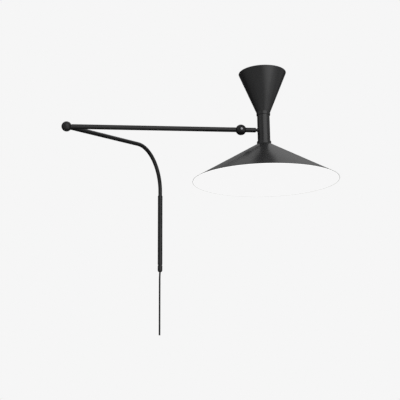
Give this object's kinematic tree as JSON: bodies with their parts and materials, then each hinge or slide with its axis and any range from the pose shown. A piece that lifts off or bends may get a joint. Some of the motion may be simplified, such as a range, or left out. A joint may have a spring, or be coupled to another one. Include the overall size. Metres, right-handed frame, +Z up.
{
  "type": "swing arm wall light",
  "caption": "Swing arm wall light: a bent tube turns in a wall sleeve, a ball elbow joins it to a level arm, and a tilting head has a wide lower shade and a narrow upper shade.",
  "frame": {"origin": "centre of the wall rail's back face, midway between its screw holes", "axes": "+Z up, +Y into the wall, +X to the right for someone facing the wall"},
  "size_m": [0.894, 0.7575, 0.8505],
  "materials": {
    "black_paint": "satin black enamel, slightly uneven, roughness about 0.35",
    "shade_paint": "satin black enamel outside, white enamel inside",
    "black_screw": "blackened steel",
    "zinc_steel": "zinc-plated steel",
    "bearing_plastic": "black bearing plastic",
    "grip_rubber": "matt black rubber",
    "cord_sheath": "smooth black cable sheath",
    "nipple_brass": "threaded brass tube",
    "holder_plastic": "moulded black thermoset",
    "lamp_cap_metal": "rolled aluminium lamp cap",
    "opal_glass": "opal white glass",
    "bare_aluminium": "machined aluminium"
  },
  "bodies": {
    "wall_mount": {"wall_rail": "black_paint", "sleeve": "black_paint", "lock_screw_upper_left": "black_screw", "lock_screw_upper_right": "black_screw", "lock_screw_lower_left": "black_screw", "lock_screw_lower_right": "black_screw", "top_collar": "black_paint", "upper_bush": "bearing_plastic", "lower_bush": "bearing_plastic", "bottom_cap": "black_paint", "cord_grip": "grip_rubber", "cord_tail": "cord_sheath", "supply_cord": "cord_sheath"},
    "bent_arm": {"thrust_washer": "bearing_plastic", "swivel_spindle": "zinc_steel", "spindle_ring": "zinc_steel", "bent_tube": "black_paint", "bent_arm_lead": "cord_sheath", "elbow_upper_half": "black_paint", "elbow_pivot_screw": "black_screw", "elbow_friction_washer": "bearing_plastic", "elbow_spring_washer": "zinc_steel", "elbow_nut": "zinc_steel"},
    "level_arm": {"elbow_lower_half": "black_paint", "elbow_cover": "black_paint", "arm_tube": "black_paint", "arm_lead": "cord_sheath", "knuckle_rear_half": "black_paint", "knuckle_cover": "black_paint"},
    "stem": {"knuckle_front_half": "black_paint", "knuckle_pivot_screw": "black_screw", "knuckle_friction_washer": "bearing_plastic", "knuckle_spring_washer": "zinc_steel", "knuckle_nut": "zinc_steel", "swivel_pin": "black_screw", "swivel_spring_washer": "zinc_steel", "swivel_nut": "zinc_steel"},
    "head": {"rosette": "black_paint", "neck_tube": "black_paint", "inner_saddle": "bare_aluminium", "hub_block": "bare_aluminium", "hub_screw": "black_screw", "nipple_upper": "nipple_brass", "lamp_holder_upper": "holder_plastic", "lamp_cap_upper": "lamp_cap_metal", "lamp_glass_upper": "opal_glass", "neck_bush_upper": "bare_aluminium", "shade_upper": "shade_paint", "shade_ring_upper": "holder_plastic", "nipple_lower": "nipple_brass", "lamp_holder_lower": "holder_plastic", "lamp_cap_lower": "lamp_cap_metal", "lamp_glass_lower": "opal_glass", "neck_bush_lower": "bare_aluminium", "shade_lower": "shade_paint", "shade_ring_lower": "holder_plastic"}
  },
  "joints": [
    {"name": "wall_swivel", "type": "hinge", "parent": "wall_mount", "child": "bent_arm", "pos_m": [0, -0.024, 0.15], "axis": [0, 0, 1], "range_deg": [-60, 119]},
    {"name": "elbow_swing", "type": "hinge", "parent": "bent_arm", "child": "level_arm", "pos_m": [-0.30362, -0.55847, 0.264], "axis": [0, 0, 1], "range_deg": [-248, 3]},
    {"name": "head_tilt", "type": "hinge", "parent": "level_arm", "child": "stem", "pos_m": [0.26349, -0.52676, 0.264], "axis": [-0.0558, 0.9984, 0], "range_deg": [-75, 38]},
    {"name": "head_roll", "type": "hinge", "parent": "stem", "child": "head", "pos_m": [0.31541, -0.52386, 0.264], "axis": [0.9984, 0.0558, 0], "range_deg": [-90, 90]}
  ]
}
